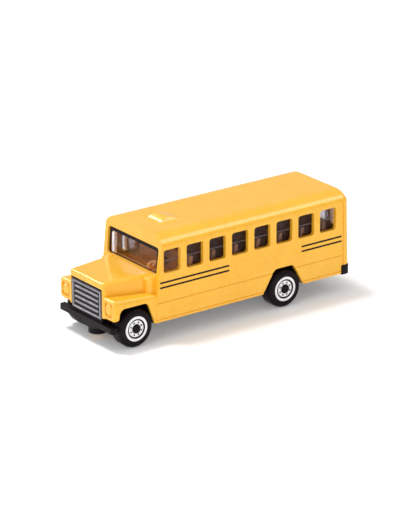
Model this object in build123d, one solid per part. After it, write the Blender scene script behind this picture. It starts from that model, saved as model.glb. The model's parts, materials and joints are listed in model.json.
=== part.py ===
from build123d import *
import os
from math import cos, radians, sin

os.makedirs("parts", exist_ok=True)

# A small die-cast toy school bus, in millimetres.
# +X points forward, +Y to the driver's side on the left, +Z up from the ground the wheels stand on.

# Overall sizes
overall_length = 76.4
body_width = 24.8
roof_height = 28.0
skirt_height = 5.3
nose_length = 13.2
face_lean = 2.4
rear_lean = 0.6
wall = 1.05
roof_wall = 1.2
corner_radius = 1.4

# Roof edge: a wide crown arc that runs into a small eave arc
crown_radius = 6.0
crown_turn = 45.0
eave_radius = 1.5
least_eave = 0.3

# Running gear
wheel_radius = 5.15
wheel_width = 4.0
wheel_inset = 0.1
tyre_shoulder = 1.1
hub_radius = 1.2
hub_proud = 0.25
disc_radius = 2.25
disc_recess = 0.25
groove_drop = 0.3
ring_inner = 2.6
ring_outer = 3.35
ring_recess = 0.1
hole_count = 8
hole_circle = 1.72
hole_radius = 0.2
hole_depth = 0.3
front_axle_setback = 7.35
rear_axle_setback = 21.45
axle_radius = 0.6
axle_clearance = 0.08
axle_cover = 0.8

# Hood, cowl and front fenders
hood_setback = 0.5
hood_top_front = 17.35
hood_top_rear = 17.6
hood_half_front = 7.75
hood_half_rear = 9.4
hood_taper = 2.0
hood_edge_radius = 0.9
hood_front_radius = 0.7
cowl_lead = 2.2
cowl_inset = 1.7
cowl_drop = 0.55
cowl_corner = 1.3
cowl_brow = 0.45
fender_setback = 0.6
fender_inset = 0.1
fender_top_front = 13.85
fender_top_rear = 12.9
fender_shoulder = 1.3
fender_corner = 0.7
fender_chin = 8.0
fender_chin_corner = 1.4
fender_wall = 1.1
fender_side_wall = 0.7
fender_ceiling = 12.2

# Side windows, the same on both sides, and the windscreen
last_window_margin = 4.5
window_pitch = 7.2
window_width = 5.25
window_sill = 18.2
window_top = 24.4
window_corner = 0.75
first_window_setback = 2.6
screen_sill = 17.6
screen_top = 24.8
screen_post_bottom = 1.55
screen_post_top = 1.3
screen_corner = 0.9

# Entry door on the right-hand side, moulded shut, with one narrow window in each leaf
door_setback = 2.5
door_width = 6.2
door_window_width = 1.35
door_window_pitch = 3.2
door_window_sill = 16.6
door_window_top = 22.6
door_window_corner = 0.4

# Rear end
rear_window_sill = 17.2
rear_window_top = 23.8
rear_side_window_width = 4.2
rear_side_window_inset = 4.6
rear_door_width = 9.2
rear_door_window_width = 6.8

# Lines cast into the skin
groove_width = 0.32
groove_depth = 0.16
belt_line_height = 10.5
sill_line_height = 6.05
sill_line_width = 0.26
seam_inset = 2.35

# Wheel arches, measured from the axle
arch_top = 11.45
arch_corner = 1.7
front_arch_flat = (-3.5, 4.95)
front_arch_mouth = (-5.7, 5.8)
rear_arch_flat = (-2.55, 3.6)
rear_arch_mouth = (-6.0, 7.4)

# Grille
grille_half = 6.66
grille_top = 15.52
grille_back_setback = 0.65
grille_face_setback = 0.4
grille_frame_inset = 0.26
grille_frame_band = 0.75
grille_frame_bar = 0.42
grille_frame_corner = 0.3
grille_wall = 0.8
grille_frame_top = 14.86
grille_frame_bottom = 7.4
slat_count = 4
slat_height = 0.48
slat_inset = 1.15
top_slat = 13.26
slat_pitch = 1.4

# Lamps cast into the body
lamp_inset = 2.75
lamp_height = 10.95
lamp_bezel = (3.3, 3.8)
lamp_bezel_corner = 0.7
lamp_bezel_depth = 0.4
lamp_radius = 1.4
lamp_edge = 0.25
tail_lamp_inset = 3.2
tail_lamp_height = 14.6
tail_lamp_size = 2.6
tail_lamp_corner = 0.5
tail_lamp_depth = 0.25

# Bumpers
bumper_top = 6.45
bumper_bottom = 5.0
bumper_inset = 0.5
bumper_depth = 1.8
bumper_chin = 4.1
chin_half = 3.2
chin_slope = 2.6
rear_bumper_top = 7.6
rear_bumper_length = 2.9
rear_bumper_overhang = 0.2
rear_bumper_setback = 0.1
rear_bumper_corner = 1.1
bumper_corner = 0.6
bumper_nose_overlap = 0.3

# Black plastic base
base_gap = 0.1
base_bottom = 5.1
base_plate = 1.0
liner_gap = 0.08
liner_wall = 0.45
tub_clearance = 1.2
pedestal_setbacks = (9.0, 29.0)
pedestal_half_length = 1.0
pedestal_half_width = 4.0
bearing_half_length = 2.0
bearing_drop = 1.5

# Cast posts that hold the base on
front_post_setback = 3.8
post_radius = 1.2
boss_radius = 2.45
boss_bottom = 1.6
post_clearance = 0.1
post_head_radius = 1.75
post_head_height = 0.45
post_head_rise = 0.3
post_head_drop = 0.3
rear_post_inset = 3.2
post_rib_half = 0.85

# Roof pod
pod_setback = 8.8
pod_length = 5.8
pod_front_slope = 1.5
pod_ridge_length = 0.8
pod_half = 3.2
pod_ridge_half = 2.0
pod_height = 1.0

# Clear moulding and the seats
glass_gap = 0.06
glass_wall = 0.6
glass_bottom = 16.0
screen_gap = 0.25
screen_recess = 0.45
sash_height = 21.3
sash_size = 0.25
floor_bottom = 12.5
floor_wall = 0.8
first_seat_setback = 7.6
seat_inner = 1.7
seat_base_height = 2.2
seat_base_length = 3.6
seat_back_height = 7.0
seat_back_wall = 1.0
seat_lean = 0.9
driver_offset = 4.7
steering_wheel_radius = 1.8
steering_rim = 0.3
steering_column = 0.5
steering_tilt = 55.0
steering_wheel_setback = 4.5
steering_wheel_height = 17.1
dash_depth = 1.5
dash_top = 16.9

# Places worked out from the sizes above
nose_x = overall_length / 2
tail_x = -overall_length / 2
body_half = body_width / 2
body_rear_x = tail_x
cab_length = overall_length - nose_length
cab_front_x = body_rear_x + cab_length
hood_front_x = nose_x - hood_setback
fender_front_x = nose_x - fender_setback
front_axle_x = nose_x - front_axle_setback
rear_axle_x = tail_x + rear_axle_setback
inner_half = body_half - wall
fender_half = body_half - fender_inset
cowl_half = body_half - cowl_inset
lamp_place = fender_half - lamp_inset
tail_lamp_place = body_half - tail_lamp_inset
screen_half_bottom = body_half - screen_post_bottom
screen_half_top = body_half - screen_post_top
rear_side_window_place = body_half - rear_side_window_inset
grille_frame_half = grille_half - grille_frame_inset
slat_half = grille_frame_half - slat_inset
bumper_half = fender_half - bumper_inset
rear_bumper_half = body_half + rear_bumper_overhang
tub_inner = body_half - wheel_inset - wheel_width - tub_clearance
cowl_front_x = cab_front_x + cowl_lead - 1.0
front_post_x = nose_x - front_post_setback
rear_post_x = body_rear_x + wall + rear_post_inset
cavity_floor = skirt_height - 1.0
tub_reach = inner_half - base_gap
first_window_front = cab_front_x - first_window_setback
window_run = cab_length - first_window_setback - last_window_margin
window_count = int((window_run - window_width) / window_pitch) + 1
seat_rows = window_count - 1
first_seat_front = cab_front_x - first_seat_setback
steering_wheel_front = cab_front_x - steering_wheel_setback
door_centre = cab_front_x - door_setback - door_width / 2
pod_front = cab_front_x - pod_setback
pod_rear = pod_front - pod_length
pod_ridge_front = pod_front - pod_front_slope
pod_ridge_rear = pod_ridge_front - pod_ridge_length
upright = (Align.CENTER, Align.CENTER, Align.MIN)


def face_x(height):
    """Forward reach of the leaning cab face at one height."""
    rise = (height - skirt_height) / (roof_height - skirt_height)
    return cab_front_x - face_lean * rise


def rear_x(height):
    """Rearward reach of the slightly leaning tail at one height."""
    return body_rear_x + rear_lean * (height - skirt_height) / (roof_height - skirt_height)


def box_between(low, high):
    """Block from its low corner to its high corner."""
    size = [high[i] - low[i] for i in range(3)]
    centre = [(high[i] + low[i]) / 2 for i in range(3)]
    return Pos(*centre) * Box(*size)


def side_prism(points, half):
    """Outline in side view, pulled out to the same half width on both sides."""
    outline = Plane.XZ * make_face(Polyline(*points, close=True))
    return extrude(outline, amount=half, both=True)


def roof_section(x, half, bottom, top, crown, eave):
    """Cross-section of the bus body, with the crown and eave arcs at its top corners."""
    turn = radians(crown_turn)
    flat_half = half - eave - (crown - eave) * sin(turn)
    eave_z = top - crown + (crown - eave) * cos(turn)
    with BuildSketch(Plane.YZ.offset(x)) as section:
        with BuildLine():
            Line((0, bottom), (half, bottom))
            Line((half, bottom), (half, eave_z))
            CenterArc((half - eave, eave_z), eave, 0, 90 - crown_turn)
            CenterArc((flat_half, top - crown), crown, 90 - crown_turn, crown_turn)
            Line((flat_half, top), (0, top))
            mirror(about=Plane.YZ)
        make_face()
    return section.sketch


def cabin_block(inset, top_inset, rear_inset, front_inset, bottom):
    """The cab's outer form, or the same form moved inwards for a cavity or a lining."""
    section = roof_section(body_rear_x - 1, body_half - inset, bottom, roof_height - top_inset,
                           crown_radius - inset, max(eave_radius - inset, least_eave))
    block = extrude(section, amount=cab_length + 2)
    low, high = bottom - 1, roof_height + 1
    trim = side_prism([(rear_x(low) + rear_inset, low), (face_x(low) - front_inset, low),
                       (face_x(high) - front_inset, high), (rear_x(high) + rear_inset, high)], body_half + 1)
    return block & trim


def cab_shell_block():
    """Outer cab form with its front and rear edge loops rounded."""
    block = cabin_block(0, 0, 0, 0, skirt_height)
    for face in (block.faces().sort_by(Axis.X)[-1], block.faces().sort_by(Axis.X)[0]):
        loop = [edge for edge in face.edges() if edge.center().Z > skirt_height + 0.1]
        block = fillet(loop, corner_radius)
    return block


def hood_block():
    """Hood that narrows towards the grille and upwards, with its top, front and corner edges rounded."""
    start = cab_front_x - wall
    reach = hood_front_x + 2
    flare = (hood_half_rear - hood_half_front) / (hood_front_x - start)
    plan = make_face(Polyline((start - 2, -hood_half_rear - 2 * flare), (reach, -hood_half_front + 2 * flare),
                              (reach, hood_half_front - 2 * flare), (start - 2, hood_half_rear + 2 * flare),
                              close=True))
    block = extrude(Plane.XY.offset(fender_chin) * plan, amount=hood_top_rear, taper=hood_taper)
    block &= side_prism([(start, fender_chin), (hood_front_x, fender_chin), (hood_front_x, hood_top_front),
                         (start, hood_top_rear)], body_half)
    middle = (start + hood_front_x) / 2
    long_edges = [edge for edge in block.edges() if abs(edge.center().X - middle) < 1
                  and edge.center().Z > hood_top_front - 1 and abs(edge.center().Y) > 1]
    block = fillet(long_edges, hood_edge_radius)
    front = block.faces().sort_by(Axis.X)[-1]
    loop = [edge for edge in front.edges() if edge.center().Z > fender_chin + 0.1]
    return fillet(loop, hood_front_radius)


def fender_block():
    """Both front fenders in one block with rounded shoulders, cut level at the chin ahead of the wheels."""
    start = cab_front_x - wall
    block = side_prism([(start, skirt_height), (front_axle_x, skirt_height), (front_axle_x, fender_chin),
                        (fender_front_x, fender_chin), (fender_front_x, fender_top_front),
                        (start, fender_top_rear)], fender_half)
    middle = (start + fender_front_x) / 2
    shoulders = [edge for edge in block.edges() if abs(edge.center().X - middle) < 1
                 and edge.center().Z > fender_top_rear and abs(edge.center().Y) > 1]
    block = fillet(shoulders, fender_shoulder)
    chin_edges = [edge for edge in block.edges() if abs(edge.center().Z - fender_chin) < 0.01
                  and abs(abs(edge.center().Y) - fender_half) < 0.01]
    block = fillet(chin_edges, fender_chin_corner)
    front = block.faces().sort_by(Axis.X)[-1]
    loop = [edge for edge in front.edges() if abs(edge.center().Y) > 1]
    return fillet(loop, fender_corner)


def cowl_block():
    """Ledge under the windscreen, as a rounded block in front of the cab face."""
    shelf = screen_sill - 0.1
    block = side_prism([(cab_front_x - 3, fender_chin + 2), (cowl_front_x, fender_chin + 2),
                        (cowl_front_x, shelf - cowl_drop), (face_x(shelf), shelf), (cab_front_x - 3, shelf)],
                       cowl_half)
    corners = [edge for edge in block.edges().filter_by(Axis.Z) if edge.center().X > cowl_front_x - 0.01]
    block = fillet(corners, cowl_corner)
    brow = [edge for edge in block.edges()
            if edge.center().X > cowl_front_x - cowl_corner - 0.1 and abs(edge.center().Z - shelf + cowl_drop) < 0.25
            and edge.length > 0.8]
    return fillet(brow, cowl_brow)


def arch_outline(axle_x, flat, mouth, extra=0.0):
    """Side view of a wheel arch: level top, rounded shoulders, sides that open downwards."""
    foot = base_bottom - 3
    spread = 1 + (skirt_height - foot) / (arch_top - skirt_height)
    rear_foot = axle_x + flat[0] + (mouth[0] - flat[0]) * spread
    front_foot = axle_x + flat[1] + (mouth[1] - flat[1]) * spread
    outline = make_face(Polyline((rear_foot, foot), (front_foot, foot), (axle_x + flat[1], arch_top),
                                 (axle_x + flat[0], arch_top), close=True))
    shoulders = outline.vertices().sort_by(Axis.Y)[-2:]
    outline = fillet(shoulders, arch_corner)
    if extra:
        outline = offset(outline, amount=extra)
    return Plane.XZ * outline


def both_arches():
    """Arch openings through both side walls, front and rear."""
    front = extrude(arch_outline(front_axle_x, front_arch_flat, front_arch_mouth), amount=body_half + 1, both=True)
    rear = extrude(arch_outline(rear_axle_x, rear_arch_flat, rear_arch_mouth), amount=body_half + 1, both=True)
    core = box_between((tail_x, -tub_inner, 0), (nose_x, tub_inner, arch_top + 2))
    return (front + rear) - core


def window_cutter(front, width, sill, top, radius, side):
    """Rounded window opening through the left (+1) or right (-1) wall."""
    centre_x = front - width / 2
    outline = RectangleRounded(width, top - sill, radius)
    plane = Plane.XZ.offset(-side * (inner_half - 1.5))
    return extrude(plane * Pos(centre_x, (sill + top) / 2) * outline, amount=-side * (wall + 3))


def side_windows():
    """All side windows: eight on the left, seven and the door leaves on the right."""
    cutters = []
    for index in range(window_count):
        front = first_window_front - index * window_pitch
        cutters.append(window_cutter(front, window_width, window_sill, window_top, window_corner, 1))
        if index:
            cutters.append(window_cutter(front, window_width, window_sill, window_top, window_corner, -1))
    for leaf in (-0.5, 0.5):
        front = door_centre + leaf * door_window_pitch + door_window_width / 2
        cutters.append(window_cutter(front, door_window_width, door_window_sill, door_window_top,
                                     door_window_corner, -1))
    return cutters


def screen_outline(grow):
    """Windscreen outline seen from the front, grown or shrunk all round."""
    low, high = screen_sill - grow, screen_top + grow
    outline = make_face(Polyline((-screen_half_bottom - grow, low), (screen_half_bottom + grow, low),
                                 (screen_half_top + grow, high), (-screen_half_top - grow, high), close=True))
    return fillet(outline.vertices(), screen_corner)


def screen_cutter():
    """Windscreen opening through the cab face."""
    return extrude(Plane.YZ.offset(face_x(screen_sill) - wall - 2) * screen_outline(0), amount=wall + 4)


def rear_windows():
    """Rear door window and one window each side of it."""
    middle = (rear_window_sill + rear_window_top) / 2
    height = rear_window_top - rear_window_sill
    plane = Plane.YZ.offset(body_rear_x - 1)
    cutters = []
    for place, width in ((-rear_side_window_place, rear_side_window_width), (0, rear_door_window_width),
                         (rear_side_window_place, rear_side_window_width)):
        cutters.append(extrude(plane * Pos(place, middle) * RectangleRounded(width, height, window_corner),
                               amount=wall + rear_lean + 2))
    return cutters


def panel_ring(width, height, radius):
    """Thin ring in the flat: the outline of a door as a groove."""
    outer = RectangleRounded(width + groove_width, height + groove_width, radius + groove_width / 2)
    return outer - RectangleRounded(width - groove_width, height - groove_width, radius - groove_width / 2)


def door_grooves():
    """Grooves round the entry door leaves and round the rear door."""
    height = window_top - skirt_height
    middle = (window_top + skirt_height) / 2 + 0.5
    plane = Plane.XZ.offset(body_half - groove_depth)
    side = extrude(plane * Pos(door_centre, middle) * panel_ring(door_width, height, 0.6), amount=1)
    side += box_between((door_centre - groove_width / 2, -body_half - 1, skirt_height + 1),
                        (door_centre + groove_width / 2, -body_half + groove_depth, window_top + 0.5))
    rear_height = window_top - rear_bumper_top - 0.6
    rear_middle = rear_bumper_top + 1 + rear_height / 2
    rear_plane = Plane(origin=(rear_x(rear_middle), 0, rear_middle), x_dir=(0, 1, 0),
                       z_dir=(roof_height - skirt_height, 0, -rear_lean))
    rear = extrude(rear_plane.offset(-1) * panel_ring(rear_door_width, rear_height, 0.6), amount=1 + groove_depth)
    return [side, rear]


def skin_grooves():
    """Belt and sill lines along both sides and the upright seams near the rear corners."""
    cutters = []
    half = groove_width / 2
    for side in (-1, 1):
        outer = sorted((side * (body_half - groove_depth), side * (body_half + 1)))
        rear = body_rear_x + seam_inset
        for height, width in ((belt_line_height, groove_width), (sill_line_height, sill_line_width)):
            cutters.append(box_between((rear, outer[0], height - width / 2),
                                       (cab_front_x - 0.2, outer[1], height + width / 2)))
        cutters.append(box_between((rear - half, outer[0], rear_bumper_top),
                                   (rear + half, outer[1], window_top + 0.7)))
    return cutters


def hood_cavity():
    """Hollow under the hood, open through the grille and down to the base."""
    start = cab_front_x - 3
    rear = Plane.YZ.offset(start) * Pos(0, (cavity_floor + hood_top_rear - 1.3) / 2) * Rectangle(
        2 * (hood_half_rear - 0.9), hood_top_rear - 1.3 - cavity_floor)
    front = Plane.YZ.offset(nose_x + 1) * Pos(0, (cavity_floor + grille_top) / 2) * Rectangle(
        2 * grille_half, grille_top - cavity_floor)
    return loft([rear, front])


def fender_cavity():
    """Hollow under both fenders."""
    half = fender_half - fender_side_wall
    return box_between((cab_front_x - 3, -half, cavity_floor),
                       (fender_front_x - fender_wall, half, fender_ceiling))


def roof_pod():
    """Small wedge on the roof behind the windscreen."""
    base = Plane.XY.offset(roof_height - 0.3) * Pos((pod_front + pod_rear) / 2, 0) * RectangleRounded(
        pod_front - pod_rear, 2 * pod_half, 0.5)
    ridge = Plane.XY.offset(roof_height + pod_height) * Pos((pod_ridge_front + pod_ridge_rear) / 2, 0) \
        * RectangleRounded(pod_ridge_front - pod_ridge_rear, 2 * pod_ridge_half, 0.3)
    return loft([base, ridge])


def lamp_details(body):
    """A square bezel recess with a round lamp in each fender front, and a raised tail lamp each side."""
    front_plane = Plane.YZ.offset(fender_front_x)
    tail_plane = Plane.YZ.offset(rear_x(tail_lamp_height) - tail_lamp_depth)
    for side in (-1, 1):
        bezel = RectangleRounded(*lamp_bezel, lamp_bezel_corner)
        body -= extrude(front_plane * Pos(side * lamp_place, lamp_height) * bezel, amount=-lamp_bezel_depth)
        lamp = Pos(fender_front_x - lamp_bezel_depth - 0.1, side * lamp_place, lamp_height) * Rot(0, 90, 0) * Cylinder(
            lamp_radius, lamp_bezel_depth + 0.2, align=upright)
        body += chamfer(lamp.faces().sort_by(Axis.X)[-1].edges(), lamp_edge)
        tail = RectangleRounded(tail_lamp_size, tail_lamp_size, tail_lamp_corner)
        body += extrude(tail_plane * Pos(side * tail_lamp_place, tail_lamp_height) * tail, amount=0.6)
    return body


def post_stems():
    """Two cast posts that reach down through the base, with their spread heads."""
    top = hood_top_front - 1.4
    low = boss_bottom + post_head_rise
    front = Pos(front_post_x, 0, low) * Cylinder(post_radius, top - low, align=upright)
    front += Pos(front_post_x, 0, low) * Cylinder(post_head_radius, post_head_height, align=upright)
    rear_low = base_bottom - post_head_drop
    rear_top = floor_bottom - 1.5
    rear = Pos(rear_post_x, 0, rear_low) * Cylinder(post_radius, rear_top - rear_low, align=upright)
    rear += Pos(rear_post_x, 0, rear_low) * Cylinder(post_head_radius, post_head_height, align=upright)
    rear += box_between((body_rear_x + wall / 2, -post_rib_half, rear_bumper_top + base_gap),
                        (rear_post_x, post_rib_half, rear_top))
    return [front, rear]


def body_shell():
    """Hollow yellow casting: cab, cowl, hood, fenders, openings and cast-in detail."""
    body = cab_shell_block() + fender_block() + cowl_block() + hood_block()
    notch = box_between((tail_x - 1, -body_half - 1, 0),
                        (tail_x + rear_bumper_length, body_half + 1, rear_bumper_top + 0.02))
    body -= notch
    body -= cabin_block(wall, roof_wall, wall, wall, cavity_floor)
    body -= hood_cavity()
    body -= fender_cavity()
    body -= both_arches()
    for cutter in side_windows() + rear_windows() + door_grooves() + skin_grooves():
        body -= cutter
    body -= screen_cutter()
    body += roof_pod()
    body = lamp_details(body)
    for post in post_stems():
        body += post
    return body


def front_bumper():
    """Bumper across the nose, deeper in the middle, with short ends turned back."""
    outline = make_face(Polyline((-bumper_half, bumper_bottom), (-chin_half - chin_slope, bumper_bottom),
                                 (-chin_half, bumper_chin), (chin_half, bumper_chin),
                                 (chin_half + chin_slope, bumper_bottom), (bumper_half, bumper_bottom),
                                 (bumper_half, bumper_top), (-bumper_half, bumper_top), close=True))
    bar = extrude(Plane.YZ.offset(nose_x) * outline, amount=-bumper_depth)
    ends = [edge for edge in bar.edges().filter_by(Axis.Z)
            if edge.center().X > nose_x - 0.01 and abs(edge.center().Y) > bumper_half - 0.01]
    return fillet(ends, bumper_corner)


def rear_bumper():
    """Black block along the tail that wraps both corners."""
    bar = box_between((tail_x + rear_bumper_setback, -rear_bumper_half, bumper_bottom),
                      (tail_x + rear_bumper_length - base_gap, rear_bumper_half, rear_bumper_top - base_gap))
    corners = bar.edges().filter_by(Axis.Z).sort_by(Axis.X)[:2]
    return fillet(corners, rear_bumper_corner)


def grille_panel():
    """Grille: a flat back with a raised frame and four raised slats."""
    back_x = nose_x - grille_back_setback
    face = nose_x - grille_face_setback
    half = grille_half - base_gap
    panel = box_between((back_x - grille_wall, -half, bumper_bottom), (back_x, half, grille_top - base_gap))
    frame_height = grille_frame_top - grille_frame_bottom
    middle = (grille_frame_top + grille_frame_bottom) / 2
    frame = RectangleRounded(2 * grille_frame_half, frame_height, grille_frame_corner)
    frame -= Rectangle(2 * (grille_frame_half - grille_frame_band), frame_height - 2 * grille_frame_bar)
    plane = Plane.YZ.offset(back_x)
    panel += extrude(plane * Pos(0, middle) * frame, amount=face - back_x)
    for index in range(slat_count):
        height = top_slat - index * slat_pitch
        slat = Rectangle(2 * slat_half, slat_height)
        panel += extrude(plane * Pos(0, height) * slat, amount=face - back_x - 0.05)
    return panel


def wheel_tubs():
    """Black linings behind the arches, each an arched band with an inner wall."""
    reach = tub_reach - tub_inner
    tubs = []
    for axle_x, flat, mouth in ((front_axle_x, front_arch_flat, front_arch_mouth),
                                (rear_axle_x, rear_arch_flat, rear_arch_mouth)):
        hollow = arch_outline(axle_x, flat, mouth, liner_gap)
        skin = arch_outline(axle_x, flat, mouth, liner_gap + liner_wall)
        for side in (-1, 1):
            block = extrude(skin, amount=-side * (reach + liner_wall))
            block = Pos(0, side * (tub_inner - liner_wall), 0) * block
            block -= Pos(0, side * tub_inner, 0) * extrude(hollow, amount=-side * (reach + 1))
            tubs.append(block)
    below = box_between((tail_x - 1, -body_half - 1, -5), (nose_x + 1, body_half + 1, base_bottom))
    ahead = box_between((fender_front_x - fender_wall - base_gap, -body_half - 1, 0),
                        (nose_x + 1, body_half + 1, roof_height))
    return [tub - below - ahead for tub in tubs]


def axle_block(x):
    """Bearing block across the base with the axle's bore through it."""
    block = box_between((x - bearing_half_length, -tub_inner + 0.05, wheel_radius - bearing_drop),
                        (x + bearing_half_length, tub_inner - 0.05, base_bottom + base_plate))
    return block - axle_bore(x)


def axle_bore(x):
    """Running bore for an axle."""
    return Pos(x, 0, wheel_radius) * Rot(90, 0, 0) * Cylinder(axle_radius + axle_clearance, body_width)


def chassis_base():
    """Black plastic base: floor plate, bumpers, grille, wheel tubs and bearing blocks."""
    half = inner_half - base_gap
    top = base_bottom + base_plate
    front_limit = nose_x - grille_back_setback - 0.4
    base = box_between((body_rear_x + wall + base_gap, -half, base_bottom), (front_limit, half, top))
    for side in (-1, 1):
        near, far = sorted((side * tub_reach, side * body_half))
        base -= box_between((cab_front_x - wall, near, 0), (nose_x, far, arch_top))
    base += box_between((front_limit - 1.2, -grille_half + base_gap, bumper_bottom),
                        (nose_x - bumper_depth + bumper_nose_overlap, grille_half - base_gap, bumper_top))
    base += box_between((tail_x + 0.5, -half, base_bottom), (body_rear_x + wall + 1.0, half, top))
    base -= both_arches()
    for tub in wheel_tubs():
        base += tub
    for x in (front_axle_x, rear_axle_x):
        base += axle_block(x)
    base += front_bumper()
    base += rear_bumper()
    base += grille_panel()
    base += Pos(front_post_x, 0, boss_bottom) * Cylinder(boss_radius, top - boss_bottom, align=upright)
    for x, low, head_rise in ((front_post_x, boss_bottom, post_head_rise),
                              (rear_post_x, base_bottom, -post_head_drop)):
        head_top = low + head_rise + post_head_height + post_clearance
        base -= Pos(x, 0, low - 1) * Cylinder(post_radius + post_clearance, rear_bumper_top, align=upright)
        base -= Pos(x, 0, low - 1) * Cylinder(post_head_radius + post_clearance, head_top - low + 1, align=upright)
    for x in (front_axle_x, rear_axle_x):
        base -= axle_bore(x)
    for x in (cab_front_x - setback for setback in pedestal_setbacks):
        base += box_between((x - pedestal_half_length, -pedestal_half_width, base_bottom),
                            (x + pedestal_half_length, pedestal_half_width, floor_bottom))
    return base


def window_glazing():
    """Clear moulding inside the cab: side panes, rear pane and a windscreen that stands forward."""
    outer = cabin_block(wall + glass_gap, roof_wall + glass_gap, wall + glass_gap, wall + glass_gap, glass_bottom)
    skin = wall + glass_gap + glass_wall
    inner = cabin_block(skin, roof_wall + glass_gap + glass_wall, skin, skin, glass_bottom - 1)
    pane = extrude(Plane.YZ.offset(face_x(screen_sill) - 6) * screen_outline(-screen_gap), amount=9)
    front_trim = cabin_block(wall, roof_wall, wall, screen_recess, glass_bottom)
    back_trim = cabin_block(wall, roof_wall, wall, wall + glass_gap + glass_wall, glass_bottom - 1)
    glazing = outer - inner
    glazing += (pane & front_trim) - back_trim
    for side in (-1, 1):
        for index in range(window_count):
            if side < 0 and index == 0:
                continue
            front = first_window_front - index * window_pitch
            near = side * (inner_half - glass_gap - 0.1)
            far = side * (inner_half + 0.2)
            low, high = sorted((near, far))
            glazing += box_between((front - window_width + 0.15, low, sash_height - sash_size / 2),
                                   (front - 0.15, high, sash_height + sash_size / 2))
    return glazing


def seat_bench(front, low, high):
    """One bench: cushion and leaning back, from one side to the other."""
    floor = floor_bottom + floor_wall
    rear = front - seat_base_length
    points = [(front, floor - 0.2), (front, floor + seat_base_height), (rear, floor + seat_base_height),
              (rear - seat_lean, floor + seat_back_height), (rear - seat_lean - seat_back_wall,
              floor + seat_back_height), (rear - seat_back_wall, floor - 0.2)]
    outline = make_face(Polyline(*points, close=True))
    bench = extrude(Plane.XZ.offset(-low) * outline, amount=low - high)
    return bench


def cabin_interior():
    """Seats, floor and dashboard in one moulding."""
    half = inner_half - glass_gap - glass_wall - 0.1
    rear = body_rear_x + wall + glass_gap + glass_wall + 0.1
    front = face_x(floor_bottom) - wall - glass_gap - glass_wall - 0.6
    floor = floor_bottom + floor_wall
    inside = box_between((rear, -half, floor_bottom), (front, half, floor))
    for row in range(seat_rows):
        seat_front = first_seat_front - row * window_pitch
        inside += seat_bench(seat_front, seat_inner, half)
        inside += seat_bench(seat_front, -half, -seat_inner)
    dash_front = face_x(dash_top) - wall - glass_gap - glass_wall - 0.1
    inside += box_between((dash_front - dash_depth, -half, floor_bottom), (dash_front, half, dash_top))
    place = Pos(steering_wheel_front, driver_offset, steering_wheel_height) * Rot(0, steering_tilt, 0)
    rim = Cylinder(steering_wheel_radius + steering_rim, 2 * steering_rim)
    rim -= Cylinder(steering_wheel_radius - steering_rim, 4 * steering_rim)
    spoke = Box(2 * steering_wheel_radius, 2 * steering_rim, steering_rim)
    column = place * Cylinder(steering_column, steering_wheel_radius * 1.4, align=upright)
    ahead = box_between((0, 0, 0), (dash_front - 0.2, body_half, roof_height))
    inside += place * (rim + spoke + Cylinder(steering_column * 1.3, 2 * steering_rim))
    return inside + (column & ahead)


def wheel_profile():
    """Half section of a wheel, from its axis out: hub, disc, groove, ring, tyre and flat back."""
    face = wheel_width
    disc = face - disc_recess
    ring = face - ring_recess
    bevel = tyre_shoulder * (1 - cos(radians(45)))
    return Plane.XZ * make_face(Polyline(
        (0, 0), (0, face + hub_proud), (hub_radius - hub_proud, face + hub_proud), (hub_radius, face),
        (hub_radius, disc), (disc_radius, disc), (disc_radius, disc - groove_drop),
        (ring_inner, disc - groove_drop), (ring_inner, ring), (ring_outer, ring),
        (wheel_radius - tyre_shoulder, face), (wheel_radius - bevel, face - bevel),
        (wheel_radius, face - tyre_shoulder), (wheel_radius, 0), close=True))


def wheel(x, side):
    """Black moulded wheel with eight small holes, pressed on its axle."""
    body = revolve(wheel_profile(), Axis.Z)
    body -= Cylinder(axle_radius, wheel_width - axle_cover, align=upright)
    hole = extrude(Plane.XY.offset(wheel_width - disc_recess - hole_depth) * RegularPolygon(hole_radius, 6),
                   amount=1)
    for index in range(hole_count):
        body -= Rot(0, 0, 360 / hole_count * index) * Pos(hole_circle, 0, 0) * hole
    inner_y = body_half - wheel_inset - wheel_width
    return Pos(x, side * inner_y, wheel_radius) * Rot(-90 * side, 0, 0) * body


def axle(x):
    """Steel wire axle between the two wheels."""
    half = body_half - wheel_inset - axle_cover
    return Pos(x, 0, wheel_radius) * Rot(90, 0, 0) * Cylinder(axle_radius, 2 * half)


pieces = {
    "body_shell": body_shell(),
    "chassis_base": chassis_base(),
    "window_glazing": window_glazing(),
    "cabin_interior": cabin_interior(),
    "axle_front": axle(front_axle_x),
    "axle_rear": axle(rear_axle_x),
    "wheel_front_left": wheel(front_axle_x, 1),
    "wheel_front_right": wheel(front_axle_x, -1),
    "wheel_rear_left": wheel(rear_axle_x, 1),
    "wheel_rear_right": wheel(rear_axle_x, -1),
}

for name, shape in pieces.items():
    export_step(shape, f"parts/{name}.step")
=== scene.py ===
import bmesh
import bpy
import json
import math
import numpy as np
from mathutils import Matrix, Vector


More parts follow.
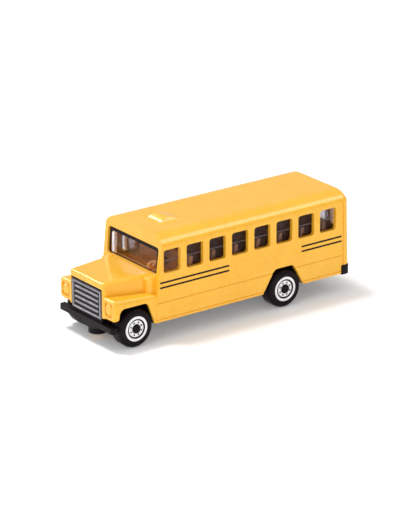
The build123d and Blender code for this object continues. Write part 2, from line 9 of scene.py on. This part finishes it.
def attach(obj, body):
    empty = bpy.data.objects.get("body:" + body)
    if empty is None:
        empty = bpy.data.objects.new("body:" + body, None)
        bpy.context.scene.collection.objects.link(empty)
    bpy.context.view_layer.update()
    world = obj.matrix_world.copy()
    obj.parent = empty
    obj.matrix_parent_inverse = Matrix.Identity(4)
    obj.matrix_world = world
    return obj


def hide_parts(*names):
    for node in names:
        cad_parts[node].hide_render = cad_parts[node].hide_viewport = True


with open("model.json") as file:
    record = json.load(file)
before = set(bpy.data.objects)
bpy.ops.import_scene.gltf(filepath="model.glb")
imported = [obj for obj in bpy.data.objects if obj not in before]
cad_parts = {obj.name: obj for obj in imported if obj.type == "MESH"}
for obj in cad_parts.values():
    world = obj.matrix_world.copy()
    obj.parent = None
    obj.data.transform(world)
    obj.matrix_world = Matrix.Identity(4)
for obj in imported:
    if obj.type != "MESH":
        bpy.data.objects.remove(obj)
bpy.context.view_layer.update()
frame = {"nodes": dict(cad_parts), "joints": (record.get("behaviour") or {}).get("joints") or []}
nodes = frame["nodes"]
print("frame loaded:", len(nodes), "CAD nodes")

mm = 0.001                # sizes are in mm where no note says metres
bodyHalf = 12.4           # from the middle to the painted side
mergeDistance = 1e-7      # metres
sides = ((1, "left"), (-1, "right"))
scene = bpy.context.scene
scene.view_settings.view_transform = "Standard"


# camera, at the photo's angle
cameraLook = {
    "turn": 36.317,       # degrees from the left side towards the nose
    "rise": 20.325,       # degrees above the floor
    "roll": 0.169,        # degrees
    "lens": 225.83,
    "sensor": 36.0,       # the picture's long side
    "distance": 848.45,
    "target": (1.88, 0.0, 13.723),
    "clip": (0.05, 20.0),        # metres
}


# Back, from the target to the camera, is (sin turn cos rise, cos turn cos rise, sin rise).
# Right and up are square to it, then turned round it by the roll.
def makeCamera(look):
    turn, rise, roll = (math.radians(look[key]) for key in ("turn", "rise", "roll"))
    back = Vector((math.sin(turn) * math.cos(rise), math.cos(turn) * math.cos(rise), math.sin(rise)))
    right = (-back).cross(Vector((0, 0, 1))).normalized()
    up = right.cross(-back)
    rolledRight = math.cos(roll) * right - math.sin(roll) * up
    rolledUp = math.sin(roll) * right + math.cos(roll) * up
    place = (Vector(look["target"]) + back * look["distance"]) * mm
    camera = bpy.data.objects.new("photoCamera", bpy.data.cameras.new("photoCamera"))
    camera.data.lens = look["lens"]
    camera.data.sensor_width = look["sensor"]
    camera.data.clip_start, camera.data.clip_end = look["clip"]
    basis = Matrix((rolledRight, rolledUp, back)).transposed().to_4x4()
    camera.matrix_world = Matrix.Translation(place) @ basis
    scene.collection.objects.link(camera)
    scene.camera = camera


makeCamera(cameraLook)


# node helpers

# A material with one plain Principled shader wired to its output.
def newMaterial(name):
    material = bpy.data.materials.new(name)
    material.use_nodes = True
    tree = material.node_tree
    tree.nodes.clear()
    output = tree.nodes.new("ShaderNodeOutputMaterial")
    shader = tree.nodes.new("ShaderNodeBsdfPrincipled")
    tree.links.new(shader.outputs["BSDF"], output.inputs["Surface"])
    return material, tree, shader


# Sets a socket to a number or a colour, or links another node's output to it.
def feed(tree, socket, value):
    if isinstance(value, (int, float)):
        socket.default_value = value
    elif isinstance(value, tuple):
        socket.default_value = (*value, 1.0)
    else:
        tree.links.new(value, socket)


# One sum on numbers or on other nodes' outputs.
def mathNode(tree, operation, *values):
    node = tree.nodes.new("ShaderNodeMath")
    node.operation = operation
    for index, value in enumerate(values):
        feed(tree, node.inputs[index], value)
    return node.outputs[0]


# First * (1 - factor) + second * factor, for each of red, green and blue.
def mixColours(tree, factor, first, second):
    node = tree.nodes.new("ShaderNodeMix")
    node.data_type = "RGBA"
    for index, value in ((0, factor), (6, first), (7, second)):    # the colour sockets are 6 and 7
        feed(tree, node.inputs[index], value)
    return node.outputs[2]


# Straight line that goes from low to high while the value goes over its own range, level past its ends.
def mapRange(tree, value, valueRange, low=0.0, high=1.0):
    node = tree.nodes.new("ShaderNodeMapRange")
    for name, number in zip(("From Min", "From Max", "To Min", "To Max"), (*valueRange, low, high)):
        node.inputs[name].default_value = number
    tree.links.new(value, node.inputs["Value"])
    return node.outputs[0]


def objectPlace(tree):
    return tree.nodes.new("ShaderNodeTexCoord").outputs["Object"]


# How far towards the nose a point is, in metres.
def lengthwisePlace(tree):
    split = tree.nodes.new("ShaderNodeSeparateXYZ")
    tree.links.new(objectPlace(tree), split.inputs[0])
    return split.outputs["X"]


# shared effect: a soft mottle and a fine grain, both from the object's own coordinates
castSkin = {
    "Mottle": {"detail": 3.0, "roughness": 0.5},
    "Grain": {"detail": 2.0, "roughness": 0.4},
}
noiseRange = (0.3, 0.7)   # nearly all of a noise lies between these


# Each output is one noise, read at the place given and at its own scale.
def buildSkinGroup(look):
    group = bpy.data.node_groups.new("castSkin", "ShaderNodeTree")
    group.interface.new_socket(name="Place", in_out="INPUT", socket_type="NodeSocketVector")
    for name in look:
        group.interface.new_socket(name=f"{name} Scale", in_out="INPUT", socket_type="NodeSocketFloat")
        group.interface.new_socket(name=name, in_out="OUTPUT", socket_type="NodeSocketFloat")
    start = group.nodes.new("NodeGroupInput")
    end = group.nodes.new("NodeGroupOutput")
    for name, values in look.items():
        noise = group.nodes.new("ShaderNodeTexNoise")
        noise.inputs["Detail"].default_value = values["detail"]
        noise.inputs["Roughness"].default_value = values["roughness"]
        group.links.new(start.outputs["Place"], noise.inputs["Vector"])
        group.links.new(start.outputs[f"{name} Scale"], noise.inputs["Scale"])
        group.links.new(noise.outputs[0], end.inputs[name])
    return group


skinGroup = buildSkinGroup(castSkin)


# The shared effect in one material, at that material's own scales.
def placeSkin(tree, look):
    node = tree.nodes.new("ShaderNodeGroup")
    node.node_tree = skinGroup
    tree.links.new(objectPlace(tree), node.inputs["Place"])
    node.inputs["Mottle Scale"].default_value = look["mottle"]
    node.inputs["Grain Scale"].default_value = look["grain"]
    return node


# Tilts the surface's normal by the slope of a height.
def addBump(tree, shader, height, distance):
    bump = tree.nodes.new("ShaderNodeBump")
    bump.inputs["Strength"].default_value = 1.0
    bump.inputs["Distance"].default_value = distance * mm
    tree.links.new(height, bump.inputs["Height"])
    tree.links.new(bump.outputs[0], shader.inputs["Normal"])


# materials: mottle and grain are noise scales per metre, peel is the bump's height
yellowPaint = {
    "light": (0.91, 0.465, 0.022), "deep": (0.88, 0.425, 0.014), "flake": (1.0, 0.57, 0.07), "flakeShare": 0.35,
    "rough": (0.34, 0.42), "specular": 0.25, "coat": 0.5, "mottle": 160.0, "grain": 1500.0, "peel": 0.012,
}
blackPlastic = {
    "light": (0.0085, 0.004, 0.007), "deep": (0.005, 0.0025, 0.004),
    "rough": (0.3, 0.45), "specular": 0.11, "mottle": 260.0, "grain": 5200.0, "peel": 0.01,
}
tintedClearWithPaintedShade = {
    # painted shade: the side panes show much more of the dark tint than the windscreen does
    "tint": (0.34, 0.29, 0.35), "index": 1.12, "sideAlpha": 0.38,
    "screenAlpha": 0.06, "screenFrom": 21.8,      # the pane forward of this is the windscreen
    "rough": (0.021, 0.042), "coat": 0.45, "coatRough": 0.03, "mottle": 120.0, "grain": 900.0, "peel": 0.008,
}
tanPlastic = {
    "light": (0.42, 0.20, 0.09), "deep": (0.33, 0.15, 0.07),
    "paintedNoseLight": (0.95, 0.42, 0.11), "paintedNoseLightSpan": (8.0, 18.0),      # painted light falling in through the windscreen: lighter and more orange from the first towards the second place
    "rough": (0.42, 0.6), "mottle": 200.0, "grain": 3000.0, "peel": 0.01,
}
steelWire = {
    "light": (0.62, 0.61, 0.60), "deep": (0.42, 0.41, 0.41), "metallic": 1.0,
    "rough": (0.22, 0.4), "mottle": 400.0, "grain": 2500.0, "peel": 0.006,
}
whitePrint = {
    "light": (0.90, 0.90, 0.91), "deep": (0.80, 0.80, 0.82),
    "rough": (0.35, 0.5), "mottle": 500.0, "grain": 4000.0, "peel": 0.004,
}
silverPrint = {
    "light": (0.27, 0.26, 0.285), "deep": (0.2, 0.19, 0.21), "coat": 0.2,
    "rough": (0.3, 0.45), "mottle": 500.0, "grain": 4500.0, "peel": 0.004,
}
# black print for the side stripes; the same black is painted shade on the windscreen's edge band
blackPrintAndShade = {
    "light": (0.012, 0.008, 0.007), "deep": (0.018, 0.011, 0.008),
    "rough": (0.35, 0.5), "specular": 0.08, "mottle": 500.0, "grain": 4500.0, "peel": 0.004,
}
sashPlastic = {
    "light": (0.15, 0.12, 0.125), "deep": (0.10, 0.08, 0.085),
    "rough": (0.25, 0.4), "mottle": 500.0, "grain": 4500.0, "peel": 0.004,
}


# Two close colours mixed by the mottle, roughness from the same mottle, bump from the grain.
# A flake colour comes in with the grain, and painted light towards the nose: a lighter, more orange colour where
# light falls into the cabin.
def opaqueFinish(name, look):
    material, tree, shader = newMaterial(name)
    skin = placeSkin(tree, look)
    mottle, grain = skin.outputs["Mottle"], skin.outputs["Grain"]
    colour = mixColours(tree, mapRange(tree, mottle, noiseRange), look["light"], look["deep"])
    if "flake" in look:
        sparkle = mathNode(tree, "MULTIPLY", mapRange(tree, grain, noiseRange), look["flakeShare"])
        colour = mixColours(tree, sparkle, colour, look["flake"])
    # painted light: the colour turns lighter and more orange towards the nose
    if "paintedNoseLight" in look:
        ahead = mapRange(tree, lengthwisePlace(tree), [place * mm for place in look["paintedNoseLightSpan"]])
        colour = mixColours(tree, ahead, colour, look["paintedNoseLight"])
    feed(tree, shader.inputs["Base Color"], colour)
    feed(tree, shader.inputs["Roughness"], mapRange(tree, mottle, noiseRange, *look["rough"]))
    feed(tree, shader.inputs["Metallic"], look.get("metallic", 0.0))
    feed(tree, shader.inputs["Specular IOR Level"], look.get("specular", 0.5))
    feed(tree, shader.inputs["Coat Weight"], look.get("coat", 0.0))
    feed(tree, shader.inputs["Coat Roughness"], look.get("coatRough", 0.1))
    addBump(tree, shader, grain, look["peel"])
    return material


# Tinted clear plastic. Alpha = side alpha, or screen alpha forward of the cab's front. The side panes show far
# more of the dark tint than the windscreen: painted shade for the dim cabin behind them.
def clearFinish(name, look):
    material, tree, shader = newMaterial(name)
    mottle = placeSkin(tree, look).outputs["Mottle"]
    ahead = mathNode(tree, "GREATER_THAN", lengthwisePlace(tree), look["screenFrom"] * mm)
    change = look["screenAlpha"] - look["sideAlpha"]
    feed(tree, shader.inputs["Base Color"], look["tint"])
    feed(tree, shader.inputs["Roughness"], mapRange(tree, mottle, noiseRange, *look["rough"]))
    feed(tree, shader.inputs["Transmission Weight"], 1.0)
    feed(tree, shader.inputs["IOR"], look["index"])
    feed(tree, shader.inputs["Coat Weight"], look["coat"])
    feed(tree, shader.inputs["Coat Roughness"], look["coatRough"])
    # painted shade: the side panes are made more opaque than the windscreen
    feed(tree, shader.inputs["Alpha"], mathNode(tree, "MULTIPLY_ADD", ahead, change, look["sideAlpha"]))
    addBump(tree, shader, mottle, look["peel"])
    return material


paint = opaqueFinish("yellowPaint", yellowPaint)
base = opaqueFinish("blackPlastic", blackPlastic)
clear = clearFinish("tintedClearWithPaintedShade", tintedClearWithPaintedShade)
seats = opaqueFinish("tanPlastic", tanPlastic)
steel = opaqueFinish("steelWire", steelWire)
white = opaqueFinish("whitePrint", whitePrint)
silver = opaqueFinish("silverPrint", silverPrint)
black = opaqueFinish("blackPrintAndShade", blackPrintAndShade)
sash = opaqueFinish("sashPlastic", sashPlastic)

nodeFinish = {
    "body_shell": paint, "chassis_base": base, "window_glazing": clear, "cabin_interior": seats,
    "axle_front": steel, "axle_rear": steel,
    "wheel_front_left": base, "wheel_front_right": base, "wheel_rear_left": base, "wheel_rear_right": base,
}
for nodeName, finish in nodeFinish.items():
    for materialSlot in nodes[nodeName].material_slots:
        materialSlot.material = finish
print("materials placed on", len(nodeFinish), "CAD nodes")


# mesh helper: every new piece is one or more grids of points, rows by columns
# Quads join neighbouring points of each grid; closeColumns joins the last column to the first.
def gridMesh(name, points, material, closeColumns=False):
    grids = points.reshape(-1, *points.shape[-3:])
    index = np.arange(grids[..., 0].size).reshape(grids.shape[:3])
    if closeColumns:
        index = np.concatenate([index, index[..., :1]], -1)
    corners = (index[:, :-1, :-1], index[:, 1:, :-1], index[:, 1:, 1:], index[:, :-1, 1:])
    mesh = bpy.data.meshes.new(name)
    mesh.from_pydata(grids.reshape(-1, 3).tolist(), [], np.stack(corners, -1).reshape(-1, 4).tolist())
    shape = bmesh.new()
    shape.from_mesh(mesh)
    bmesh.ops.remove_doubles(shape, verts=shape.verts, dist=mergeDistance)    # closes the poles of turned shapes
    shape.to_mesh(mesh)
    shape.free()
    mesh.polygons.foreach_set("use_smooth", np.full(len(mesh.polygons), True))
    mesh.materials.append(material)
    mesh.update()
    piece = bpy.data.objects.new(name, mesh)
    scene.collection.objects.link(piece)
    return piece


# side stripes: thin printed bands with a slightly crowned face
stripes = {
    "heights": (15.82, 14.49),
    "spans": {"left": ((1.66, 23.57), (-35.3, -21.93)), "right": ((1.66, 15.9), (-35.3, -21.93))},
    "width": 0.5,
    "gap": 0.002,         # from the painted side to the print's edge
    "proud": 0.012,
    "steps": (60, 9),     # along, across
}


# Band along X; across it the face stands out by the root of a half sine.
def stripeBand(name, side, span, height, look):
    along = np.linspace(*span, look["steps"][0])
    across = np.linspace(0.0, 1.0, look["steps"][1])
    x, share = np.meshgrid(along, across, indexing="ij")
    z = height + (share - 0.5) * look["width"]
    y = side * (bodyHalf + look["gap"] + look["proud"] * np.sin(np.pi * share) ** 0.5)
    points = np.stack([x, y, z], -1) * mm
    if side > 0:
        points = points[::-1]
    piece = gridMesh(name, points, black)
    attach(piece, "root")


for side, sideName in sides:
    for spanNumber, span in enumerate(stripes["spans"][sideName]):
        for heightNumber, height in enumerate(stripes["heights"]):
            stripeBand(f"stripe_{sideName}_{spanNumber}_{heightNumber}", side, span, height, stripes)
print("stripes printed")


# wheels: one turned surface each, with the printed ring, disc and spots laid on it
wheels = {
    "radius": 5.15,
    "width": 4.0,
    "inset": 0.1,         # from the painted side in to the tyre's face
    "shoulder": 1.1,
    "backEdge": 0.3,
    "steps": 128,
    # half section, each point a radius and a depth from the wheel's back
    "hub": ((0.0, 4.25), (0.45, 4.24)),
    "hubEdge": ((0.9, 3.95), 0.29),    # middle and radius of its arc
    "dish": ((1.2, 3.86), (1.2, 3.76), (1.24, 3.75), (2.21, 3.75), (2.25, 3.71), (2.26, 3.48), (2.3, 3.45),
             (2.55, 3.45), (2.59, 3.48), (2.6, 3.86), (2.64, 3.9), (3.33, 3.9), (3.37, 3.87), (3.41, 3.8),
             (3.5, 3.79), (3.56, 3.84), (3.62, 3.9)),
    "sidewall": ((3.8, 3.955), (3.95, 3.985)),
    "rear": ((4.0, 0.0), (3.6, 0.25), (1.6, 0.25), (1.5, 0.0), (0.7, 0.0), (0.0, 0.0)),
    "arcSteps": (7, 14, 6),            # round the hub's edge, the tyre's shoulder, its back edge
    # prints: inner radius, outer radius, depth of the plastic under them
    "ring": (2.66, 3.32, 3.9),
    "disc": (1.26, 2.21, 3.75),
    "printRise": 0.02,
    "printFoot": 0.02,    # out and down from the edge, into the plastic
    "printSlope": 0.03,
    "printEdge": 0.7,     # share of the rise at the edge
    "spots": 8,
    "spotCircle": 1.72,
    "spotRadius": 0.27,
    "spotSteps": 16,
    "spotDome": ((1.0, -0.01), (0.85, 0.012), (0.5, 0.018), (0.0, 0.02)),    # share of the radius, rise
}


# Points at centre + radius * (cos, sin) for evenly spaced angles in degrees.
def arcPoints(centre, radius, start, end, count):
    turn = np.radians(np.linspace(start, end, count))
    return np.stack([centre[0] + radius * np.cos(turn), centre[1] + radius * np.sin(turn)], -1)


# Half section from the hub's middle, over the face, round the tyre and back along the rear to the axis.
def wheelProfile(look):
    radius, width, shoulder, edge = look["radius"], look["width"], look["shoulder"], look["backEdge"]
    hubSteps, shoulderSteps, edgeSteps = look["arcSteps"]
    hubEdge = arcPoints(*look["hubEdge"], 90, 0, hubSteps)
    front = arcPoints((radius - shoulder, width - shoulder), shoulder, 90, 0, shoulderSteps)
    back = arcPoints((radius - edge, edge), edge, 0, -90, edgeSteps)
    return np.vstack([look["hub"], hubEdge, look["dish"], look["sidewall"], front, back, look["rear"]])


# Distance from the middle of the bus to a depth in the wheel, out from the wheel's back.
def wheelReach(depth, look):
    return bodyHalf - look["inset"] - look["width"] + depth


# Every profile point (radius, depth) swept round the axle: x and z on a circle, y along the axle.
def turned(name, profile, axle, side, material, look):
    turn = np.linspace(0, 2 * np.pi, look["steps"], endpoint=False)
    radius, depth = profile[:, :1], profile[:, 1:]
    x = axle[0] + radius * np.cos(turn)
    z = axle[1] + radius * np.sin(turn)
    y = side * wheelReach(depth, look) + 0.0 * turn
    points = np.stack([x, y, z], -1) * mm
    if side > 0:
        points = points[:, ::-1]
    return gridMesh(name, points, material, closeColumns=True)


# Thin printed layer: flat face with edges that drop to the plastic under it.
def printedAnnulus(name, inner, outer, level, axle, side, material, look):
    foot, slope, low = look["printFoot"], look["printSlope"], level - look["printFoot"]
    edge, face = level + look["printRise"] * look["printEdge"], level + look["printRise"]
    profile = np.array([(inner - foot, low), (inner, edge), (inner + slope, face),
                        (outer - slope, face), (outer, edge), (outer + foot, low)])
    return turned(name, profile, axle, side, material, look)


# Small domes on a circle: each is rings of points round its own middle, from its edge up to its top.
def spotDiscs(name, axle, side, level, look):
    middle = (2 * np.pi * (np.arange(look["spots"]) + 0.5) / look["spots"])[:, None, None]
    ring = np.radians(np.linspace(0, 360, look["spotSteps"], endpoint=False))
    share, lift = np.array(look["spotDome"]).T[..., None]
    x = axle[0] + look["spotCircle"] * np.cos(middle) + share * look["spotRadius"] * np.cos(ring)
    z = axle[1] + look["spotCircle"] * np.sin(middle) + share * look["spotRadius"] * np.sin(ring)
    y = side * wheelReach(level + look["printRise"] + lift, look) + 0.0 * x
    points = np.stack([x, y, z], -1) * mm
    if side < 0:
        points = points[..., ::-1, :]
    return gridMesh(name, points, base, closeColumns=True)


# Tyre and hub in one turned piece, then two printed layers and the spots, all on the wheel's body.
def makeWheel(place, axle, body, side, sideName, look):
    label = f"{place}_{sideName}"
    tyre = turned(f"wheelTurned_{label}", wheelProfile(look), axle, side, base, look)
    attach(tyre, body)
    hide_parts(f"wheel_{label}")
    for part, (inner, outer, level) in (("ringPrint", look["ring"]), ("discPrint", look["disc"])):
        layer = printedAnnulus(f"{part}_{label}", inner, outer, level, axle, side, white, look)
        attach(layer, body)
    spots = spotDiscs(f"wheelSpots_{label}", axle, side, look["disc"][2], look)
    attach(spots, body)


for joint in frame["joints"]:
    body = joint["child"]
    axleMiddle = (joint["pos_m"][0] / mm, joint["pos_m"][2] / mm)
    for side, sideName in sides:
        makeWheel(body.split("_")[0], axleMiddle, body, side, sideName, wheels)
print("wheels turned and printed")


# grille: silver print on the frame and the four slats
grille = {
    "back": 37.55,
    "frameRise": 0.27,
    "outer": (6.42, 7.38, 14.88),      # half width, foot, top
    "inner": (5.62, 7.93, 14.33),
    "frameSteps": (17, 24),            # across the frame, along each of its sides
    "slatRise": 0.225,
    "slatHeights": (13.26, 11.86, 10.46, 9.06),
    "slatHalf": 5.3,
    "slatWidth": 0.62,
    "slatSteps": (6, 13),              # round each end, across
    "slatEnd": 0.05,                   # radians left off each rounded end
}


# Points round a rectangle, the same share of each side, so that two rectangles match point by point.
def framePath(half, low, high, count):
    corners = np.array([(-half, low), (half, low), (half, high), (-half, high), (-half, low)])
    share = np.linspace(0, 1, count, endpoint=False)[:, None]
    return np.vstack([corners[i] * (1 - share) + corners[i + 1] * share for i in range(4)])


# Band between two closed loops of (y, z) that match point by point: outer * (1 - share) + inner * share.
def loopBand(outer, inner, share):
    share = share[:, None, None]
    return outer * (1 - share) + inner * share


# Band from an outer to an inner rectangle; over it x = back + rise * (1 - (2s - 1)^6)^(1/2).
def grilleFrame(look):
    acrossSteps, sideSteps = look["frameSteps"]
    share = (1 - np.cos(np.linspace(0, np.pi, acrossSteps))) / 2
    flat = loopBand(framePath(*look["outer"], sideSteps), framePath(*look["inner"], sideSteps), share)
    x = look["back"] + look["frameRise"] * np.sqrt(np.maximum(1 - (2 * share - 1) ** 6, 0))
    points = np.concatenate([x[:, None, None] + 0.0 * flat[..., :1], flat], -1) * mm
    return gridMesh("grilleFrameSilver", points[:, ::-1], silver, closeColumns=True)


# Bar along Y: x = back + rise * (1 - c^4)^(1/2) across it, and its half width rounds off at the ends.
def grilleSlat(number, height, look):
    half, radius = look["slatHalf"], look["slatWidth"] / 2
    turn = np.linspace(look["slatEnd"], np.pi / 2, look["slatSteps"][0])
    end, wide = radius * (1 - np.cos(turn)), radius * np.sin(turn)
    along = np.concatenate([end - half, half - end[::-1]])
    wide = np.concatenate([wide, wide[::-1]])
    across = -np.cos(np.linspace(0, np.pi, look["slatSteps"][1]))
    y = along[:, None] + 0.0 * across
    z = height + wide[:, None] * across
    x = look["back"] + look["slatRise"] * np.sqrt(np.maximum(1 - across ** 4, 0)) + 0.0 * y
    return gridMesh(f"grilleSlatSilver_{number}", np.stack([x, y, z], -1) * mm, silver)


silverPieces = [grilleFrame(grille)]
for number, height in enumerate(grille["slatHeights"]):
    silverPieces.append(grilleSlat(number, height, grille))
for piece in silverPieces:
    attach(piece, "root")
print("grille printed")


# windscreen: black band round the edge of the clear moulding, painted shade for the shadow gap and dark
# refracting edge between the pane and its opening
screenEdgeShade = {
    "faceFoot": 24.57,    # forward reach of the pane at the skirt's height, just clear of its front
    "skirt": 5.3,
    "lean": 2.4 / 22.7,   # back per height
    "outer": (10.62, 10.86, 17.84, 24.56, 0.7),      # half width below, half width above, foot, top, corner
    "inner": (9.85, 9.95, 18.16, 23.62, 0.5),
    "rise": 0.02,
    "steps": (7, 9),      # across the band, round each corner
}


# Closed loop of (y, z): four corner arcs of the same radius, joined by straight sides.
def roundedLoop(lowHalf, highHalf, low, high, corner, count):
    loop = []
    for centre, start in (((lowHalf - corner, low + corner), -90), ((highHalf - corner, high - corner), 0),
                          ((corner - highHalf, high - corner), 90), ((corner - lowHalf, low + corner), 180)):
        loop.append(arcPoints(centre, corner, start, start + 90, count))
    return np.vstack(loop)


# Band from the outer to the inner loop, on a plane that leans back with height, proud by the root of a half sine.
def makeScreenEdgeShade(look):
    acrossSteps, cornerSteps = look["steps"]
    share = np.linspace(0, 1, acrossSteps)
    flat = loopBand(roundedLoop(*look["outer"], cornerSteps), roundedLoop(*look["inner"], cornerSteps), share)
    lift = look["rise"] * np.sin(np.pi * share) ** 0.5
    x = look["faceFoot"] - look["lean"] * (flat[..., 1] - look["skirt"]) + lift[:, None]
    points = np.concatenate([x[..., None], flat], -1) * mm
    return gridMesh("screenEdgePaintedShade", points[:, ::-1], black, closeColumns=True)


screenPiece = makeScreenEdgeShade(screenEdgeShade)
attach(screenPiece, "root")
print("windscreen edged")


# side windows: a thin rounded line along each moulded sash
sashLines = {
    "firstFront": 22.4,   # front edge of the first window
    "pitch": 7.2,
    "width": 5.25,
    "inset": 0.2,
    "height": 21.3,
    "half": 0.11,
    "reach": 11.53,       # from the middle of the bus to the pane
    "rise": 0.05,
    "steps": (12, 7),     # along, across
    "windows": {"left": range(0, 8), "right": range(1, 8)},    # the door is at the first on the right
}


# Bar along X on the pane: y = reach + rise * (1 - c^2), with c across its height.
def sashLine(name, side, number, look):
    front = look["firstFront"] - number * look["pitch"] - look["inset"]
    along = np.linspace(front, front - look["width"] + 2 * look["inset"], look["steps"][0])
    across = np.linspace(-1, 1, look["steps"][1])
    x, c = np.meshgrid(along, across, indexing="ij")
    z = look["height"] + look["half"] * c
    y = side * (look["reach"] + look["rise"] * (1 - c ** 2))
    points = np.stack([x, y, z], -1) * mm
    if side < 0:
        points = points[::-1]
    return gridMesh(name, points, sash)


for side, sideName in sides:
    for number in sashLines["windows"][sideName]:
        linePiece = sashLine(f"sashLine_{sideName}_{number}", side, number, sashLines)
        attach(linePiece, "root")
print("sash lines laid")


# roof pod: a smooth skin over the cast pod, with soft flanks and ends
podSkin = {
    "roof": 27.98,
    "height": 1.03,
    "front": 16.3,
    "ridgeFront": 14.8,
    "ridgeRear": 13.8,
    "rear": 10.28,
    "half": 3.3,
    "ridgeHalf": 2.05,
    "swell": 0.07,
    "steps": (44, 44),    # along, across
}


# z = roof + height * (r + swell * sin(pi r)), where r goes from 0 at the outline to 1 on the ridge.
def makePod(look):
    x = np.linspace(look["rear"], look["front"], look["steps"][0])
    y = np.linspace(-look["half"], look["half"], look["steps"][1])
    ends = np.minimum((x - look["rear"]) / (look["ridgeRear"] - look["rear"]),
                      (look["front"] - x) / (look["front"] - look["ridgeFront"]))
    flanks = (look["half"] - np.abs(y)) / (look["half"] - look["ridgeHalf"])
    ramp = np.minimum(np.clip(ends, 0, 1)[:, None], np.clip(flanks, 0, 1))
    gridX, gridY = np.meshgrid(x, y, indexing="ij")
    z = look["roof"] + look["height"] * (ramp + look["swell"] * np.sin(np.pi * ramp))
    return gridMesh("roofPodSkin", np.stack([gridX, gridY, z], -1) * mm, paint)


podPiece = makePod(podSkin)
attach(podPiece, "root")
print("roof pod smoothed")


# floor and lights, in metres; a light with no diffuse only adds gloss
studio = {
    "floor": (0.93, 0.93, 0.935),
    "floorSize": 6.0,
    "floorHeight": -0.00002,
    "floorRough": 0.9,
    "floorGlow": 0.15,
    "world": 0.56,
    "worldColour": (1.0, 0.995, 0.985),
    "aim": (0.0, 0.0, 0.01),
    "lights": {
        "overheadBox": {"place": (0.2, -0.31, 1.1), "size": 0.26, "power": 7.8, "diffuse": True},
        "sideBox": {"place": (0.35, 1.25, 0.42), "size": 0.9, "power": 3.8, "diffuse": True},
        "noseBox": {"place": (1.2, 0.25, 0.55), "size": 0.6, "power": 3.0, "diffuse": True},
        "rearGloss": {"place": (-0.62, 0.26, 0.95), "size": 0.36, "power": 2.4, "diffuse": False},
        "farGloss": {"place": (0.5, -0.9, 0.75), "size": 0.5, "power": 14.0, "diffuse": False},
    },
}


# Square lamps that face the aim, over a pale floor that glows a little so that the shadow stays light.
def makeStudio(look):
    bpy.ops.mesh.primitive_plane_add(size=look["floorSize"], location=(0, 0, look["floorHeight"]))
    floor = bpy.context.object
    floor.name = "paleFloor"
    material, tree, shader = newMaterial("paleFloor")
    feed(tree, shader.inputs["Base Color"], look["floor"])
    feed(tree, shader.inputs["Roughness"], look["floorRough"])
    feed(tree, shader.inputs["Emission Color"], (1.0, 1.0, 1.0))
    feed(tree, shader.inputs["Emission Strength"], look["floorGlow"])
    floor.data.materials.append(material)
    world = bpy.data.worlds.new("studio")
    world.use_nodes = True
    background = world.node_tree.nodes["Background"]
    feed(world.node_tree, background.inputs["Color"], look["worldColour"])
    feed(world.node_tree, background.inputs["Strength"], look["world"])
    scene.world = world
    for name, box in look["lights"].items():
        lamp = bpy.data.objects.new(name, bpy.data.lights.new(name, "AREA"))
        lamp.data.size = box["size"]
        lamp.data.energy = box["power"]
        lamp.location = box["place"]
        lamp.rotation_euler = (Vector(look["aim"]) - Vector(box["place"])).to_track_quat("-Z", "Y").to_euler()
        lamp.visible_diffuse = box["diffuse"]
        scene.collection.objects.link(lamp)


makeStudio(studio)
print("studio lit")
